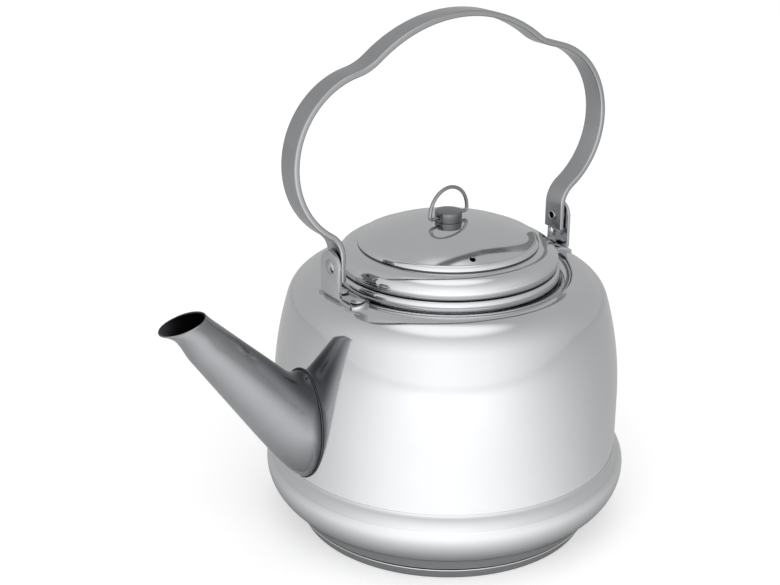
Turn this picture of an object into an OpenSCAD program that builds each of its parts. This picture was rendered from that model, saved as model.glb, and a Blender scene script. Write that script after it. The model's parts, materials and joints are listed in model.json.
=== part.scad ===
// Polished steel kettle with a flat bail handle, a lift-off lid and a straight spout.
// Millimetres. The origin is the centre of the foot's underside, +Z is up, +X points at the
// spout, and the bail turns about an axis along X.

/* [Body] */
// Outer radius of the straight part of the wall
body_r = 90.2; // [86:0.2:94]
// Thickness of the drawn sheet
sheet_t = 0.9; // [0.7:0.1:1.2]
// Height of the shoulder's highest ring
crown_z = 137; // [134:0.5:141]
// Height of the shoulder's corner, from the end of the long curve to the highest ring
shoulder_h = 13; // [10:0.5:16]
// Height over which the wall leans in below the shoulder
lean_h = 52; // [44:1:60]
// Radius of the long curve over that height
lean_r = 182; // [160:2:220]
// Radius of the fall from that ring to the neck
crown_fall_r = 12; // [11:0.5:16]
// How far the wall reaches down inside the base pan
wall_lap = 3; // [1:0.5:6]
// Radius of the hole in the wall behind the spout
wall_hole_r = 14; // [8:0.5:15]

/* [Base] */
// How far the bulged ring stands out from the wall
bulge_out = 4.8; // [4:0.2:7]
// Height of the bulge's widest point
bulge_z = 33.5; // [31:0.5:38]
// Radius of the bulge below its widest point
bulge_low_r = 22; // [20:0.5:24]
// Radius of the bulge above its widest point
bulge_top_r = 12; // [10:0.5:14]
// Radius of the hollow between the bulge and the wall
lip_hollow_r = 3.6; // [2:0.2:5]
// How far in from the bulge the pan meets the foot
pan_foot_in = 14.5; // [12:0.5:15.5]
// Height of the aluminium heat core
core_h = 6.3; // [4:0.1:9]
// How far in from the bulge the foot's underside ends
foot_in = 19; // [17.5:0.5:25]
// How much wider the foot is at its top
foot_flare = 3; // [1:0.5:4]
// Width of the dark groove between the foot and the pan
foot_groove = 1; // [0.6:0.1:1.6]

/* [Neck] */
// How far the neck stands in from the wall
neck_in = 35.2; // [33.2:0.2:38.2]
// Width of the bead that is rolled round the neck
bead_w = 2.6; // [2:0.1:3.4]
// Height of the bead
bead_h = 5.6; // [4:0.2:8]

/* [Lid] */
// How far the edge of the lid's dome stands in from the neck
dome_in = 10.8; // [9:0.2:12]
// Rise of the dome from its edge to its flat middle
dome_rise = 8.3; // [3:0.1:12]
// Height of the stepped band outside the dome
step_h = 3.3; // [2:0.1:5]
// Width of the stepped band
step_w = 2.2; // [1.6:0.1:4]
// Height of the rounded rim of the lid
lid_rim_h = 10.8; // [8:0.1:14]
// How far the rim bulges past the step
lid_bulge = 10.1; // [8:0.1:12]
// Radius of the flat in the middle that carries the knob
pad_r = 8; // [7.5:0.5:12]
// Gap between the lid and the bead it sits on
lid_gap = 0.3; // [0.1:0.1:1]
// Depth of the plug below the lid's lower edge
plug_h = 12; // [6:1:20]
// Clearance between the plug and the neck
plug_gap = 0.8; // [0.5:0.1:1.2]
// Diameter of the steam hole
vent_d = 3; // [2:0.5:5]
// How far the steam hole stands in from the dome's edge
vent_in = 3.2; // [2.2:0.2:10]

/* [Knob] */
// Radius of the knob
knob_r = 7; // [6:0.25:7.5]
// Height of the knob
knob_h = 5.2; // [4.6:0.2:8]
// Radius of the ring's centre line
ring_r = 12.9; // [10.5:0.1:15]
// Thickness of the ring's wire
ring_wire = 1.9; // [1:0.1:2.2]
// Height of the ring's centre above its hinge line
ring_rise = 1.8; // [1.8:0.1:4]
// Radius of the bend at each end of the ring
ring_bend = 1.6; // [1.2:0.1:2.4]
// Running clearance of the wire in the knob
ring_play = 0.05; // [0.02:0.01:0.1]

/* [Spout] */
// Height of the spout's axis at the wall, above the seam's lowest point
spout_rise = 26.8; // [22:0.2:30]
// Distance from the wall to the middle of the mouth
spout_reach = 61.6; // [52:0.2:70]
// Height of the middle of the mouth
mouth_z = 141.7; // [132:0.1:148]
// Outer radius of the tube at the wall
spout_r = 19.2; // [17:0.2:21]
// Outer radius of the tube at the mouth
mouth_r = 9.2; // [7:0.2:12]
// Angle by which the mouth's cut falls outwards
mouth_fall = 15; // [5:1:25]
// How far the lower lip turns out
lip = 2.2; // [0:0.1:3]
// How far the upper lip turns out
lip_top = 1; // [0:0.1:2]
// How much the tube narrows just under the lower lip
pinch = 1; // [0:0.1:1.5]
// Half the width of the seam on the wall
seam_y = 18.2; // [16:0.2:20]
// Height of the seam
seam_len = 57.2; // [54:0.2:64]
// Distance from the pan's lip up to the seam
seam_gap = 1.9; // [1.2:0.1:5]
// Radius of the weld along the seam
weld_r = 0.3; // [0.2:0.1:0.8]

/* [Bail] */
// Height of the hinge line above the shoulder's highest ring
pivot_rise = 16.2; // [15:0.2:20]
// Shift of the ears and the bail away from the spout
bail_shift = 1.9; // [0:0.1:2.5]
// How far the bail's legs stand out from the neck
leg_out = 14.5; // [13.9:0.1:17]
// Height above the hinge line up to which the legs are straight
leg_rise = 5.4; // [4.6:0.1:7]
// Height of the bail's top above the hinge line
bail_h = 115.8; // [110:0.2:125]
// Radius of the top arch
arch_r = 80.4; // [76:0.2:84]
// How far a side lobe's centre stands in from the leg
lobe_in = 17.1; // [15:0.1:19]
// Radius of the side lobes
lobe_r = 42.4; // [40:0.1:44]
// Radius of the hollow between the arch and a lobe
hollow_r = 29.5; // [20:0.5:60]
// Radius of the bend from a lobe into the leg
ankle_r = 14; // [11:0.2:16]
// How far the legs reach below the hinge line
leg_drop = 7.2; // [6:0.2:8.4]
// Width of the strip
strip_w = 13; // [10:0.2:14]
// Thickness of the strip
strip_t = 3; // [2:0.1:3.6]
// Radius of the strip's edges
strip_edge = 1; // [0.3:0.1:1]

/* [Ears] */
// Width of an ear
ear_w = 16; // [15:0.2:18]
// Thickness of an ear
ear_t = 1.7; // [1.2:0.1:2]
// Width of the plate that lies on the shoulder
plate_w = 11.2; // [9:0.2:12]
// How far the front ear's plate reaches along +Y
plate_near = 20.6; // [19.4:0.2:26]
// How far the front ear's plate reaches along -Y
plate_far = 11.2; // [9.4:0.1:14]
// Distance of the near rivet from the plate's round end
rivet_in = 5.4; // [4.4:0.1:7]
// Distance between a plate's two rivets
rivet_pitch = 14.4; // [12:0.2:15]
// Radius of a plate rivet's head
rivet_r = 3.5; // [2.5:0.1:4]
// Radius of the outer side of the bend between an ear and its plate
ear_bend = 2.4; // [1.4:0.1:3]
// Diameter of the small hole low in each ear
tool_hole_d = 3.2; // [2:0.2:4]
// Thickness of the washer between an ear and the bail
washer_t = 1; // [0.8:0.1:1.4]
// Radius of the shank of a hinge rivet
pin_r = 2.2; // [1.8:0.1:3]
// Radius of the head of a hinge rivet
pin_head_r = 3.8; // [3.4:0.1:5]
// Running clearance of the hinge rivets in the bail
pin_play = 0.05; // [0.02:0.01:0.1]

/* [Hidden] */

polished = [0.74, 0.75, 0.76];
satin = [0.62, 0.63, 0.65];
dark = [0.42, 0.43, 0.45];
aluminium = [0.8, 0.8, 0.82];

seat = 0.02;       // clearance between pieces that are pressed or welded together
big = 400;         // larger than the kettle, for cutting tools
arc_steps = 10;    // straight pieces in each arc of a turned profile

function arc(x, y, r, a0, a1, n = arc_steps) =
    [for (i = [0 : n]) let (a = a0 + (a1 - a0) * i / n) [x + r * cos(a), y + r * sin(a)]];
function flip(p) = [for (i = [len(p) - 1 : -1 : 0]) p[i]];

module turned(points, sides = 96) {
    rotate_extrude($fn = sides) polygon(points);
}

// ---- body: wall, shoulder and neck -------------------------------------------------------

shoulder_z = crown_z - shoulder_h;
lean_z = shoulder_z - lean_h;
lean_a = asin(lean_h / lean_r);
corner_r = (crown_z - shoulder_z) / (1 - sin(lean_a));
corner_x = body_r - lean_r + (lean_r - corner_r) * cos(lean_a);
corner_z = crown_z - corner_r;
neck_r = body_r - neck_in;
neck_foot_r = neck_r + bead_w + 0.4;
fall_a = asin((corner_x - neck_foot_r) / crown_fall_r);
neck_foot_z = crown_z - crown_fall_r * (1 - cos(fall_a));
bead_z = neck_foot_z + 0.5;
neck_top = bead_z + bead_h;

// Outer radius of the body at a height on the wall
function wall_r(z) = z < lean_z ? body_r : body_r - lean_r + sqrt(pow(lean_r, 2) - pow(z - lean_z, 2));

// The outside of wall and shoulder, moved in by d, from height z0 up to the foot of the neck
function body_side(d, z0) = concat(
    [[body_r - d, z0]],
    arc(body_r - lean_r, lean_z, lean_r - d, 0, lean_a),
    arc(corner_x, corner_z, corner_r - d, lean_a, 90),
    arc(corner_x, crown_z - crown_fall_r, crown_fall_r - d, 90, 90 + fall_a));

bulge_r = body_r + bulge_out;
top_x = bulge_r - bulge_top_r;
pan_lip_z = bulge_z + sqrt(pow(bulge_top_r, 2) - pow(body_r + seat - top_x, 2));
wall_low_z = pan_lip_z - wall_lap;
body_outside = concat(body_side(0, wall_low_z), [[neck_r, neck_foot_z - 0.4], [neck_r, neck_top]]);
body_inside = concat(body_side(sheet_t, wall_low_z),
    [[neck_r - sheet_t, neck_foot_z - sheet_t - 0.4], [neck_r - sheet_t, neck_top]]);

module body_shell() {
    color(polished) difference() {
        turned(concat(body_outside, flip(body_inside)));
        translate([body_r / 2, 0, spout_z]) rotate([0, 90, 0])
            cylinder(h = body_r, r = wall_hole_r, $fn = 64);
        for (rear = [false, true]) rivet_holes(rear);
    }
}

module rim_bead() {
    color(polished) turned(concat(
        [[neck_r + seat, neck_top], [neck_r + seat, bead_z]],
        [for (a = [-90 : 15 : 90])
            [neck_r + bead_w / 2 + bead_w / 2 * cos(a), bead_z + bead_h / 2 * (1 + sin(a))]]));
}

// ---- base: bulged pan, heat core and foot ------------------------------------------------

pan_floor_z = core_h + foot_groove - 0.1;
pan_foot_r = bulge_r - pan_foot_in;
foot_r = bulge_r - foot_in;
low_x = bulge_r - bulge_low_r;
low_a = 60;

hollow_x = body_r + seat + lip_hollow_r;
hollow_top_a = acos((hollow_x - top_x) / (bulge_top_r + lip_hollow_r));
hollow_z = bulge_z + (bulge_top_r + lip_hollow_r) * sin(hollow_top_a);

// The pan, moved in by d, from its middle out and up the bulge to angle top_a
function pan_side(d, top_a) = concat(
    [[0, pan_floor_z + d], [pan_foot_r - d, pan_floor_z + d]],
    arc(low_x, bulge_z, bulge_low_r - d, -low_a, 0),
    arc(top_x, bulge_z, bulge_top_r - d, 0, top_a));

// Outside, the bulge runs through a small hollow into a thin lip on the wall
module base_pan() {
    lip_a = acos((body_r + seat - top_x) / (bulge_top_r - sheet_t));
    lip = arc(hollow_x, hollow_z, lip_hollow_r, 180 + hollow_top_a, 200, 4);
    color(polished) turned(concat(
        pan_side(0, hollow_top_a), [for (i = [1 : 4]) lip[i]], [[body_r + seat, lip[4][1]]],
        flip(pan_side(sheet_t, lip_a))));
}

module heat_core() {
    color(aluminium) translate([0, 0, sheet_t + seat])
        cylinder(h = pan_floor_z - sheet_t - 2 * seat, r = foot_r - sheet_t - seat, $fn = 96);
}

module foot_cap() {
    flare_top = foot_r + foot_flare;
    color(polished) turned([
        [0, 0], [foot_r - 0.8, 0], [foot_r + 0.2, 0.5], [flare_top - 0.3, core_h - 0.9],
        [flare_top, core_h - 0.3], [flare_top - 0.4, core_h], [foot_r, core_h],
        [foot_r, sheet_t], [0, sheet_t]]);
}

// ---- spout -------------------------------------------------------------------------------

spout_sides = 48;
seam_low = pan_lip_z + seam_gap;
seam_top = seam_low + seam_len;
spout_z = seam_low + spout_rise;
mouth_x = body_r + spout_reach;
spout_a = atan2(mouth_z - spout_z, mouth_x - body_r);
spout_l = norm([mouth_x - body_r, mouth_z - spout_z]);
along = [cos(spout_a), 0, sin(spout_a)];
up_side = [-sin(spout_a), 0, cos(spout_a)];
cut_lean = 90 - mouth_fall - spout_a;
flare_rings = 6;
tube_rings = 14;
seam_mid = (seam_top + seam_low) / 2;
seam_h = (seam_top - seam_low) / 2;

// Length over which the tube spreads onto the wall, longer on its upper side
function flare_l(a) = spout_l * (0.24 + 0.05 * (1 + sin(a)));
// Radius of the plain cone at distance l along its axis
function cone_r(l) = spout_r + (mouth_r - spout_r) * l / spout_l;
// Radius of the lip at angle a, and the distance along the axis at which the cut meets it
function lip_r(a) = mouth_r + (sin(a) < 0 ? lip : lip_top) * pow(sin(a), 2);
function lip_l(a) = spout_l - lip_r(a) * sin(a) * tan(cut_lean);
// A point of the tube at angle a, moved in by d, where u runs from 0 above the spread end to 1 at the lip
function tube_point(u, a, d) =
    let (l = flare_l(a) + (lip_l(a) - flare_l(a)) * u,
         turn_out = (lip_r(a) - cone_r(lip_l(a))) * pow(max(0, (u - 0.88) / 0.12), 2),
         narrow = pinch * (1 - sin(a)) / 2 * pow(sin(180 * max(0, (u - 0.7) / 0.3)), 2),
         r = cone_r(l) + turn_out - narrow - d)
    [body_r, 0, spout_z] + along * l + up_side * r * sin(a) + [0, r * cos(a), 0];
// A point of the seam on the wall
function seam_point(a, d) =
    let (y = (seam_y - d) * cos(a), z = seam_mid + (seam_h - d) * sin(a))
    [sqrt(pow(wall_r(z), 2) - y * y) + 0.06, y, z];
// The spread end: a curve that leaves the wall along its surface and runs into the tube
function flare_point(t, a, d) =
    let (wall = seam_point(a, d), tube = tube_point(0, a, d), next = tube_point(0.1, a, d),
         run = (tube - next) / (tube - next)[0],
         knee = tube + run * (wall[0] - tube[0]) * (0.85 - 0.12 * (1 + sin(a))))
    wall * pow(1 - t, 2) + knee * 2 * t * (1 - t) + tube * t * t;
// The rings stand closer together towards the lip
function spout_ring(i, d) = [for (k = [0 : spout_sides - 1])
    let (a = 360 * k / spout_sides)
    i < flare_rings ? flare_point(i / flare_rings, a, d)
                    : tube_point(1 - pow(1 - (i - flare_rings) / tube_rings, 1.5), a, d)];

module spout_tube() {
    rings = flare_rings + tube_rings;
    count = (rings + 1) * spout_sides;
    outside = [for (i = [0 : rings]) each spout_ring(i, 0)];
    inside = [for (i = [0 : rings]) each spout_ring(i, sheet_t)];
    function at(i, k) = i * spout_sides + k % spout_sides;
    color(polished) polyhedron(points = concat(outside, inside), faces = [
        for (i = [0 : rings - 1]) for (k = [0 : spout_sides - 1]) each [
            [at(i, k), at(i + 1, k), at(i + 1, k + 1)], [at(i, k), at(i + 1, k + 1), at(i, k + 1)],
            [count + at(i, k), count + at(i + 1, k + 1), count + at(i + 1, k)],
            [count + at(i, k), count + at(i, k + 1), count + at(i + 1, k + 1)]],
        for (k = [0 : spout_sides - 1]) each [
            [at(0, k), at(0, k + 1), count + at(0, k + 1)],
            [at(0, k), count + at(0, k + 1), count + at(0, k)],
            [at(rings, k), count + at(rings, k + 1), at(rings, k + 1)],
            [at(rings, k), count + at(rings, k), count + at(rings, k + 1)]]]);
}

weld_sides = 8;
// A ring of the weld round the seam, square to its run
function weld_ring(k) =
    let (a = 360 * k / spout_sides, p = seam_point(a, -weld_r), q = seam_point(a + 1, -weld_r),
         run = (q - p) / norm(q - p), out = [p[0], p[1], 0] / norm([p[0], p[1]]), side = cross(run, out))
    [for (j = [0 : weld_sides - 1]) let (b = 360 * j / weld_sides)
        p + out * (weld_r * (1 + cos(b)) + seat) + side * weld_r * sin(b)];

module spout_weld() {
    function at(k, j) = (k % spout_sides) * weld_sides + j % weld_sides;
    color(satin) polyhedron(
        points = [for (k = [0 : spout_sides - 1]) each weld_ring(k)],
        faces = [for (k = [0 : spout_sides - 1]) for (j = [0 : weld_sides - 1]) each [
            [at(k, j), at(k + 1, j + 1), at(k, j + 1)], [at(k, j), at(k + 1, j), at(k + 1, j + 1)]]]);
}

// ---- bail --------------------------------------------------------------------------------

pivot_z = crown_z + pivot_rise;
leg_x = neck_r + leg_out;
lobe_x = leg_x - lobe_in;
lobe_h = leg_rise + sqrt(pow(lobe_r + ankle_r, 2) - pow(lobe_in + ankle_r, 2));
arch_mid = [0, bail_h - arch_r];
lobe_mid = [lobe_x, lobe_h];
span = norm(lobe_mid - arch_mid);
hollow_a = atan2(lobe_mid[1] - arch_mid[1], lobe_mid[0]) + acos(
    (pow(arch_r + hollow_r, 2) + span * span - pow(lobe_r + hollow_r, 2)) / (2 * (arch_r + hollow_r) * span));
hollow_mid = arch_mid + (arch_r + hollow_r) * [cos(hollow_a), sin(hollow_a)];
to_lobe = lobe_mid - hollow_mid;
lobe_start = atan2(-to_lobe[1], -to_lobe[0]);
ankle_mid = [leg_x + ankle_r, leg_rise];
lobe_end = atan2(ankle_mid[1] - lobe_h, ankle_mid[0] - lobe_x);

// The strip's section: a rectangle with rounded edges, its thickness first
sec_x = strip_t / 2 - strip_edge;
sec_y = strip_w / 2 - strip_edge;
strip_section = concat(
    arc(sec_x, sec_y, strip_edge, 0, 90, 3), arc(-sec_x, sec_y, strip_edge, 90, 180, 3),
    arc(-sec_x, -sec_y, strip_edge, 180, 270, 3), arc(sec_x, -sec_y, strip_edge, 270, 360, 3));

// Stations along the bail's middle line, each [x, height, direction of the outer side]
function bend(mid, r, a0, a1, n, side = 0) = [for (i = [0 : n])
    let (a = a0 + (a1 - a0) * i / n) [mid[0] + r * cos(a), mid[1] + r * sin(a), a + side]];
half_bail = concat(
    bend(arch_mid, arch_r, 90, hollow_a + 1, 8),
    bend(hollow_mid, hollow_r, 180 + hollow_a, 360 + atan2(to_lobe[1], to_lobe[0]), 5, -180),
    bend(lobe_mid, lobe_r, lobe_start - 3, lobe_end + 3, 16),
    bend(ankle_mid, ankle_r, 180 + lobe_end, 180, 5, -180),
    [[leg_x, -leg_drop, 0]]);
bail_line = concat(flip([for (p = half_bail) [-p[0], p[1], 180 - p[2]]]),
    [for (i = [1 : len(half_bail) - 1]) half_bail[i]]);

module bail() {
    n = len(strip_section);
    ends = len(bail_line) - 1;
    points = [for (p = bail_line) for (q = strip_section)
        [p[0] + q[0] * cos(p[2]), q[1], p[1] + q[0] * sin(p[2])]];
    function at(i, k) = i * n + k % n;
    color(polished) translate([-bail_shift, 0, pivot_z]) difference() {
        polyhedron(points = points, faces = concat(
            [for (i = [0 : ends - 1]) for (k = [0 : n - 1]) each [
                [at(i, k), at(i, k + 1), at(i + 1, k + 1)], [at(i, k), at(i + 1, k + 1), at(i + 1, k)]]],
            [[for (k = [n - 1 : -1 : 0]) at(0, k)], [for (k = [0 : n - 1]) at(ends, k)]]));
        hinge_cylinder(pin_r + pin_play, -big, big);
    }
}

// A cylinder on the hinge line, from x0 to x1 measured from the bail's middle
module hinge_cylinder(r, x0, x1, sides = 48) {
    translate([x0, 0, 0]) rotate([0, 90, 0]) cylinder(h = x1 - x0, r = r, $fn = sides);
}

// ---- ears, their rivets and the hinge ----------------------------------------------------

ear_in = leg_x + strip_t / 2 + washer_t + 2 * seat;
ear_out = ear_in + ear_t;
plate_in = ear_out - 0.8 - plate_w;
rivet_x = plate_in + plate_w / 2;
rivet_y = [plate_near - rivet_in - rivet_pitch, plate_near - rivet_in];

// Puts its children at the front ear, or turned half round at the rear one
module at_ear(rear) {
    translate([-bail_shift, 0, 0]) rotate(rear ? 180 : 0) children();
}

// Everything under the body's outside, moved out by d
module body_core(d) {
    turned(concat([[0, 0], [body_r, 0]], body_side(-d, lean_z),
                  [[neck_foot_r - 0.4, neck_foot_z], [0, neck_foot_z]]));
}

// The plate's outline: square at the far end, round at the near end
module plate_outline() {
    r = plate_w / 2;
    polygon(concat([[plate_in, -plate_far + 2], [plate_in + 2, -plate_far], [plate_in + 2 * r, -plate_far]],
                   arc(plate_in + r, plate_near - r, r, 0, 180, 12)));
}

module ear(rear) {
    bend_x = ear_out - ear_bend;
    difference() {
        union() {
            intersection() {
                body_core(ear_t);
                at_ear(rear) linear_extrude(height = big) {
                    plate_outline();
                    translate([plate_in + 2, -ear_w / 2]) square([ear_out - plate_in - 2, ear_w]);
                }
            }
            at_ear(rear) {
                translate([ear_in, -ear_w / 2, corner_z]) cube([ear_t, ear_w, pivot_z - corner_z]);
                translate([0, 0, pivot_z]) hinge_cylinder(ear_w / 2, ear_in, ear_out, 64);
            }
        }
        body_core(seat);
        at_ear(rear) {
            translate([0, 0, pivot_z]) hinge_cylinder(pin_r + seat, 0, big);
            if (rear) translate([0, tool_hole_y, pivot_z - tool_hole_drop])
                hinge_cylinder(tool_hole_d / 2, ear_in - 1, big, 32);
            translate([bend_x, 0, shoulder_top(world_r(rear, bend_x, 0)) + ear_bend]) difference() {
                translate([0, -ear_w / 2, -big]) cube([big, ear_w, big]);
                rotate([90, 0, 0]) cylinder(h = big, r = ear_bend, center = true, $fn = 48);
            }
        }
        rivet_holes(rear);
    }
}

// Distance from the kettle's axis of a place given in an ear's own frame
function world_r(rear, x, y) = norm([x + (rear ? 1 : -1) * bail_shift, y]);
// Height of the shoulder's outside at distance r from the axis
function shoulder_top(r) = r < corner_x
    ? crown_z - crown_fall_r + sqrt(pow(crown_fall_r, 2) - pow(corner_x - r, 2))
    : corner_z + sqrt(pow(corner_r, 2) - pow(r - corner_x, 2));
tool_hole_y = ear_w / 2 - tool_hole_d + 0.6;
tool_hole_drop = ear_w / 2 + 3;
rivet_shank = rivet_r * 0.55;
rivet_depth = 6;

module ear_front() { color(polished) ear(false); }
module ear_rear() { color(polished) ear(true); }

// Slope of the shoulder at distance r from the axis
function shoulder_slope(r) = asin((r - corner_x) / (r < corner_x ? crown_fall_r : corner_r));

// Puts its children on the shoulder at a plate's rivets, square to the sheet
module at_rivets(rear) {
    side = rear ? -1 : 1;
    x = side * rivet_x - bail_shift;
    for (y = side * rivet_y) let (r = norm([x, y]))
        translate([x, y, shoulder_top(r)]) rotate([0, shoulder_slope(r), atan2(y, x)]) children();
}

module rivet_holes(rear) {
    at_rivets(rear) translate([0, 0, -rivet_depth])
        cylinder(h = 2 * rivet_depth, r = rivet_shank + seat, $fn = 32);
}

// A domed head of radius r and height h on the plane z = 0
module dome(r, h) {
    ball = (r * r + h * h) / (2 * h);
    rotate_extrude($fn = 48)
        polygon(concat([[0, 0]], arc(0, h - ball, ball, asin((ball - h) / ball), 90, 6)));
}

// Each rivet lies on the plate and ends in a domed tail under the shoulder
module ear_rivets(rear) {
    head_z = ear_t + 2 * seat;
    tail_z = -sheet_t - 0.4;
    at_rivets(rear) {
        translate([0, 0, head_z]) dome(rivet_r, rivet_r * 0.42);
        translate([0, 0, tail_z - 0.2]) cylinder(h = head_z - tail_z + 0.4, r = rivet_shank, $fn = 32);
        translate([0, 0, tail_z]) mirror([0, 0, 1]) dome(rivet_r * 0.85, 1.1);
    }
}

module ear_rivets_front() { color(satin) ear_rivets(false); }
module ear_rivets_rear() { color(satin) ear_rivets(true); }

tail_in = leg_x - strip_t / 2 - 0.1;
tail_t = 0.9;

module pivot_rivet(rear) {
    at_ear(rear) translate([0, 0, pivot_z]) difference() {
        union() {
            translate([ear_out + seat, 0, 0]) rotate([0, 90, 0]) dome(pin_head_r, 1.5);
            hinge_cylinder(pin_r, tail_in - tail_t, ear_out + 2 * seat);
            hinge_cylinder(pin_r + 0.5, tail_in - tail_t, tail_in);
        }
        hinge_cylinder(pin_r - 0.5, tail_in - tail_t - 1, leg_x);
    }
}

module pivot_washer(rear) {
    at_ear(rear) translate([0, 0, pivot_z]) difference() {
        hinge_cylinder(pin_r + 2.4, ear_in - seat - washer_t, ear_in - seat);
        hinge_cylinder(pin_r + seat, 0, big);
    }
}

module pivot_rivet_front() { color(satin) pivot_rivet(false); }
module pivot_rivet_rear() { color(satin) pivot_rivet(true); }
module pivot_washer_front() { color(dark) pivot_washer(false); }
module pivot_washer_rear() { color(dark) pivot_washer(true); }

// ---- lid ---------------------------------------------------------------------------------

lid_low_z = neck_top + lid_gap;
dome_r = neck_r - dome_in;
vent_at = dome_r - vent_in;
step_r = dome_r + step_w;
step_z = lid_low_z + lid_rim_h;
dome_z = step_z + step_h;
pad_z = dome_z + dome_rise;
dome_drop = pad_z - dome_z;
dome_ball = (pow(dome_r - pad_r, 2) + pow(dome_drop, 2)) / (2 * dome_drop);
dome_a = asin((dome_r - pad_r) / dome_ball);
lid_edge_r = neck_r - 0.4;
rim_r = step_r + lid_bulge;
rim_z = lid_low_z + lid_rim_h * 0.37;

vent_turn = 70;
knob_shank = 2;
rivet_bore = knob_shank + seat;

// The outside of the lid, moved in by d, from its middle out and down to its lower edge
function lid_side(d) = concat(
    [[0, pad_z - d]],
    arc(pad_r, pad_z - dome_ball, dome_ball - d, 90, 90 - dome_a),
    [for (a = [15 : 15 : 75]) [dome_r + (step_w - d) * sin(a), step_z + (step_h - d) * cos(a)]],
    [[step_r - d, step_z - d]],
    [for (a = [15 : 15 : 90])
        [step_r + (lid_bulge - d) * sin(a), rim_z + (step_z - rim_z - d) * cos(a)]],
    [for (a = [22.5 : 22.5 : 90])
        [lid_edge_r + (rim_r - lid_edge_r - d) * cos(a), rim_z - (rim_z - lid_low_z) * sin(a)]]);

module lid_shell() {
    color(polished) difference() {
        turned(concat(lid_side(0), flip(lid_side(sheet_t))));
        cylinder(h = big, r = rivet_bore, $fn = 32);
        rotate(vent_turn) translate([vent_at, 0, lid_low_z]) cylinder(h = big, r = vent_d / 2, $fn = 32);
    }
}

plug_r = neck_r - sheet_t - plug_gap;
plug_low_z = lid_low_z - plug_h;

module lid_plug() {
    color(polished) intersection() {
        turned([
            [plug_r, step_z], [plug_r, plug_low_z + 1.2], [plug_r - 1, plug_low_z],
            [plug_r - 1 - sheet_t, plug_low_z], [plug_r - sheet_t, plug_low_z + 1.6],
            [plug_r - sheet_t, step_z]]);
        turned(concat(lid_side(sheet_t + seat), [[plug_r + 0.1, lid_low_z - 1], [plug_r + 0.1, 0], [0, 0]]));
    }
}

// ---- knob --------------------------------------------------------------------------------

knob_z = pad_z + seat;
ring_z = knob_z + knob_h / 2;
wire_r = ring_wire / 2;
peg_in = knob_r * 0.5;
knob_edge = 0.3;
knob_turn = 7;     // the knob and its ring are riveted on turned by this much

module knob() {
    color(satin) rotate(knob_turn) difference() {
        translate([0, 0, knob_z]) rotate_extrude($fn = 64)
            polygon(concat([[0, 0], [knob_r - 0.4, 0], [knob_r, 0.4]],
                           arc(knob_r - knob_edge, knob_h - knob_edge, knob_edge, 0, 90, 3), [[0, knob_h]]));
        translate([-knob_r, 0, ring_z]) rotate([0, 90, 0])
            cylinder(h = 2 * knob_r, r = wire_r + ring_play, $fn = 32);
        translate([0, 0, knob_z - 1]) cylinder(h = 1 + knob_socket, r = rivet_bore, $fn = 32);
    }
}
knob_socket = knob_h / 2 - wire_r - ring_play - 0.4;

module knob_rivet() {
    under = pad_z - sheet_t - washer_under - 2 * seat;
    color(satin) {
        translate([0, 0, under - 0.2])
            cylinder(h = knob_z + knob_socket - seat - under + 0.2, r = knob_shank, $fn = 32);
        translate([0, 0, under]) mirror([0, 0, 1]) dome(3.6, 1.4);
    }
}
washer_under = 0.6;

module knob_washer() {
    color(dark) translate([0, 0, pad_z - sheet_t - seat - washer_under]) difference() {
        cylinder(h = washer_under, r = 5.5, $fn = 48);
        translate([0, 0, -1]) cylinder(h = 3, r = rivet_bore, $fn = 32);
    }
}

bend_x = sqrt(pow(ring_r - ring_bend, 2) - pow(ring_rise - ring_bend, 2));
bend_a = atan2(ring_bend - ring_rise, bend_x);

module wire_arc(mid, r, a0, a1) {
    translate(mid) rotate(a0) rotate_extrude(angle = a1 - a0, $fn = 72)
        translate([r, 0]) circle(r = wire_r, $fn = 24);
}

module knob_ring() {
    color(polished) translate([0, 0, ring_z]) rotate([90, 0, knob_turn]) {
        wire_arc([0, ring_rise], ring_r, bend_a, 180 - bend_a);
        for (m = [0, 1]) mirror([m, 0, 0]) {
            wire_arc([bend_x, ring_bend], ring_bend, -90, bend_a);
            translate([peg_in, 0, 0]) rotate([0, 90, 0]) cylinder(h = bend_x - peg_in, r = wire_r, $fn = 24);
            translate([bend_x, 0, 0]) sphere(r = wire_r + 0.02, $fn = 24);
            translate([bend_x + ring_bend * cos(bend_a), ring_bend + ring_bend * sin(bend_a), 0])
                sphere(r = wire_r + 0.02, $fn = 24);
        }
    }
}

body_shell();
base_pan();
heat_core();
foot_cap();
rim_bead();
spout_tube();
spout_weld();
ear_front();
ear_rear();
ear_rivets_front();
ear_rivets_rear();
pivot_rivet_front();
pivot_rivet_rear();
pivot_washer_front();
pivot_washer_rear();
bail();
lid_shell();
lid_plug();
knob();
knob_rivet();
knob_washer();
knob_ring();
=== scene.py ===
"""A polished steel kettle with a flat bail handle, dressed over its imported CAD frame."""
import json
from math import acos, asin, atan2, cos, degrees, hypot, pi, radians, sin, sqrt, tan

import bmesh
import bpy
from mathutils import Matrix, Vector

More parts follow.
